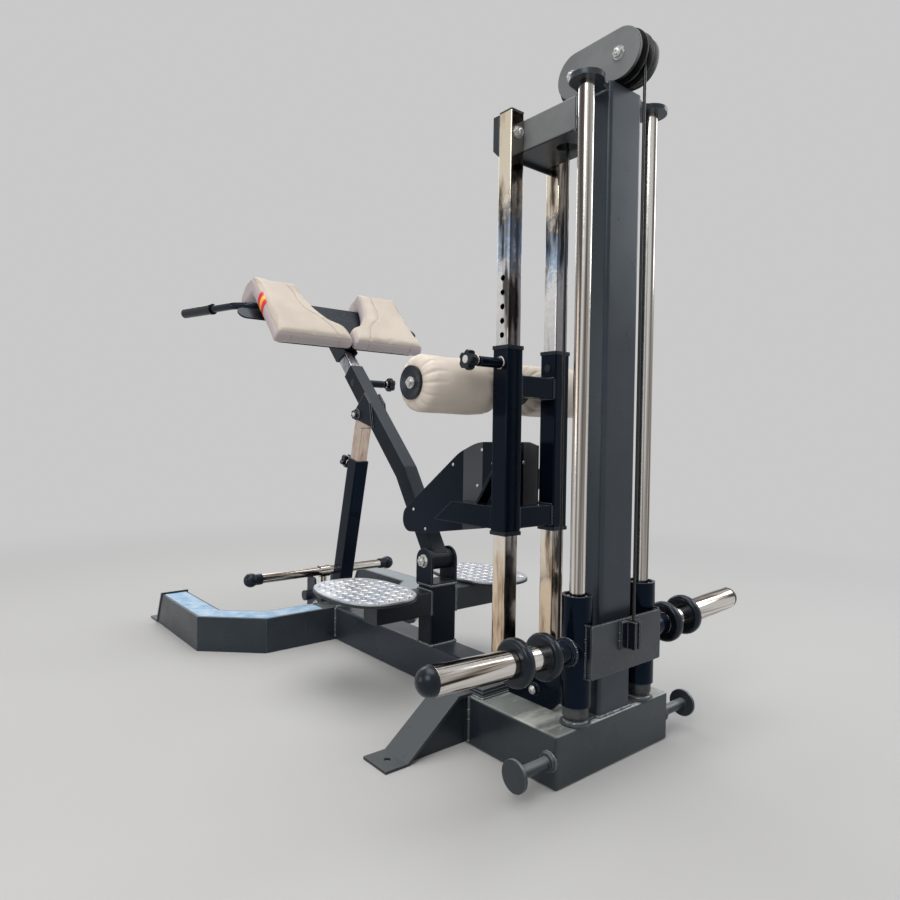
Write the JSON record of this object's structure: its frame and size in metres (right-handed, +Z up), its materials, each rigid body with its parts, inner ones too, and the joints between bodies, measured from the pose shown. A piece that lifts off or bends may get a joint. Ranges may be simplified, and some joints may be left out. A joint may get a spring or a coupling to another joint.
{
  "type": "plate loaded hyperextension machine",
  "caption": "Standing hyperextension machine: tilting split hip pads and leg rollers before a mast whose cable joins a plate carriage to a pull bar.",
  "frame": {"origin": "on the floor below the middle of the machine's outer box", "axes": "+X to the right of a person facing forward, +Y forward from the mast to the hoop, +Z up"},
  "size_m": [0.944, 1.652, 1.41],
  "materials": {
    "frame_paint": "slate grey textured powder coat",
    "carriage_paint": "glossy blue-black powder coat",
    "black_paint": "satin black powder coat",
    "chrome": "polished hard chrome",
    "polished_steel": "ground and polished steel",
    "zinc": "zinc plated",
    "black_rubber": "smooth moulded rubber",
    "grey_rubber": "matt buffer rubber",
    "black_plastic": "moulded, slightly glossy",
    "pulley_plastic": "turned nylon",
    "bearing_plastic": "acetal bush",
    "beige_leather": "sewn upholstery, fine grain",
    "cable_coat": "nylon coated wire rope",
    "grip_tape": "light blue grip tape",
    "tread_plate": "bright diamond plate",
    "tread_rim": "dark powder coat"
  },
  "bodies": {
    "frame": {"base_box": "frame_paint", "main_beam": "frame_paint", "front_hoop": "frame_paint", "grip_strips": "grip_tape", "outriggers": "frame_paint", "band_pegs": "frame_paint", "mast": "frame_paint", "top_beam": "frame_paint", "guide_rods": "polished_steel", "rod_ears": "frame_paint", "rod_bumpers": "grey_rubber", "uprights": "chrome", "upright_base_bar": "frame_paint", "upright_cap_plate": "frame_paint", "upright_bolts": "zinc", "top_pulley_plates": "frame_paint", "pulley_axles": "zinc", "lower_pulley_guard": "black_paint", "front_bracket": "frame_paint", "cable_run": "cable_coat", "rear_cable": "cable_coat", "riser_cable": "cable_coat", "pivot_post": "frame_paint", "pivot_bolts": "zinc", "foot_plates": "tread_rim", "foot_treads": "tread_plate"},
    "top_rear_pulley": {"top_rear_pulley": "pulley_plastic"},
    "top_front_pulley": {"top_front_pulley": "pulley_plastic"},
    "lower_pulley": {"lower_pulley": "pulley_plastic"},
    "front_pulley": {"front_pulley": "pulley_plastic"},
    "weight_carriage": {"carriage_sleeves": "carriage_paint", "sleeve_bushes": "bearing_plastic", "carriage_plate": "frame_paint", "weight_horns": "chrome", "horn_rubbers": "black_rubber"},
    "roller_carriage": {"roller_sleeves": "carriage_paint", "sleeve_collars": "black_plastic", "roller_crossbars": "carriage_paint", "guard_plates": "carriage_paint", "roller_axle": "zinc"},
    "leg_roller_left": {"leg_roller_left": "beige_leather", "roller_caps_left": "black_plastic"},
    "leg_roller_right": {"leg_roller_right": "beige_leather", "roller_caps_right": "black_plastic"},
    "selector_pin": {"selector_pin": "black_plastic"},
    "pad_arm": {"arm_tube": "frame_paint", "arm_barrel": "frame_paint"},
    "arm_pin": {"arm_pin": "black_plastic"},
    "pad_head": {"pad_stem": "chrome", "pad_backing": "black_paint", "hip_pad_left": "beige_leather", "hip_pad_right": "beige_leather", "handles": "black_paint", "handle_grips": "black_rubber"},
    "strut_outer": {"strut_outer": "carriage_paint"},
    "strut_inner": {"strut_inner": "chrome"},
    "strut_pin": {"strut_pin": "black_plastic"},
    "pull_bar": {"pull_bar": "polished_steel", "bar_balls": "black_plastic", "bar_swivel": "chrome"}
  },
  "joints": [
    {"name": "weight_slide", "type": "slide", "parent": "frame", "child": "weight_carriage", "axis": [0, 0, 1], "range_m": [0, 0.75], "deforming": ["rear_cable"]},
    {"name": "bar_slide", "type": "slide", "parent": "frame", "child": "pull_bar", "axis": [0, 0, 1], "range_m": [0, 0.75], "deforming": ["riser_cable"]},
    {"name": "top_rear_pulley_spin", "type": "hinge", "parent": "frame", "child": "top_rear_pulley", "pos_m": [0, -0.776, 1.36], "axis": [1, 0, 0], "continuous": true},
    {"name": "top_front_pulley_spin", "type": "hinge", "parent": "frame", "child": "top_front_pulley", "pos_m": [0, -0.664, 1.36], "axis": [1, 0, 0], "continuous": true},
    {"name": "lower_pulley_spin", "type": "hinge", "parent": "frame", "child": "lower_pulley", "pos_m": [0, -0.59, 0.087], "axis": [1, 0, 0], "continuous": true},
    {"name": "front_pulley_spin", "type": "hinge", "parent": "frame", "child": "front_pulley", "pos_m": [0, 0.353, 0.087], "axis": [1, 0, 0], "continuous": true},
    {"name": "roller_slide", "type": "slide", "parent": "frame", "child": "roller_carriage", "axis": [0, 0, 1], "range_m": [-0.06, 0.18]},
    {"name": "left_roller_spin", "type": "hinge", "parent": "roller_carriage", "child": "leg_roller_left", "pos_m": [-0.156, -0.448, 0.744], "axis": [1, 0, 0], "continuous": true},
    {"name": "right_roller_spin", "type": "hinge", "parent": "roller_carriage", "child": "leg_roller_right", "pos_m": [0.156, -0.448, 0.744], "axis": [1, 0, 0], "continuous": true},
    {"name": "selector_pin_pull", "type": "slide", "parent": "roller_carriage", "child": "selector_pin", "axis": [-1, 0, 0], "range_m": [-0.006, 0.01], "stiffness_N_per_m": 800},
    {"name": "arm_hinge", "type": "hinge", "parent": "frame", "child": "pad_arm", "pos_m": [0, -0.208, 0.313], "axis": [1, 0, 0], "range_deg": [-4, 8]},
    {"name": "arm_pin_pull", "type": "slide", "parent": "pad_arm", "child": "arm_pin", "axis": [1, 0, 0], "range_m": [-0.006, 0.01], "stiffness_N_per_m": 800},
    {"name": "pad_slide", "type": "slide", "parent": "pad_arm", "child": "pad_head", "axis": [0, 0.6947, 0.7193], "range_m": [-0.04, 0.12]},
    {"name": "strut_hinge", "type": "hinge", "parent": "frame", "child": "strut_outer", "pos_m": [0, 0.283, 0.125], "axis": [1, 0, 0], "range_deg": [-2, 4]},
    {"name": "strut_slide", "type": "slide", "parent": "strut_outer", "child": "strut_inner", "axis": [0, -0.2297, 0.9733], "range_m": [-0.0305, 0.0605]},
    {"name": "strut_pin_pull", "type": "slide", "parent": "strut_outer", "child": "strut_pin", "axis": [0, 0.9733, 0.2297], "range_m": [-0.006, 0.01], "stiffness_N_per_m": 800}
  ],
  "couplings": [
    {"joint": "bar_slide", "follows": "weight_slide", "ratio": 1},
    {"joint": "top_rear_pulley_spin", "follows": "weight_slide", "rad_per_m": -27.027},
    {"joint": "top_front_pulley_spin", "follows": "weight_slide", "rad_per_m": -27.027},
    {"joint": "lower_pulley_spin", "follows": "weight_slide", "rad_per_m": 27.027},
    {"joint": "front_pulley_spin", "follows": "weight_slide", "rad_per_m": 27.027},
    {"joint": "strut_hinge", "follows": "arm_hinge", "ratio": 0.49288},
    {"joint": "strut_slide", "follows": "arm_hinge", "m_per_rad": 0.43147}
  ]
}
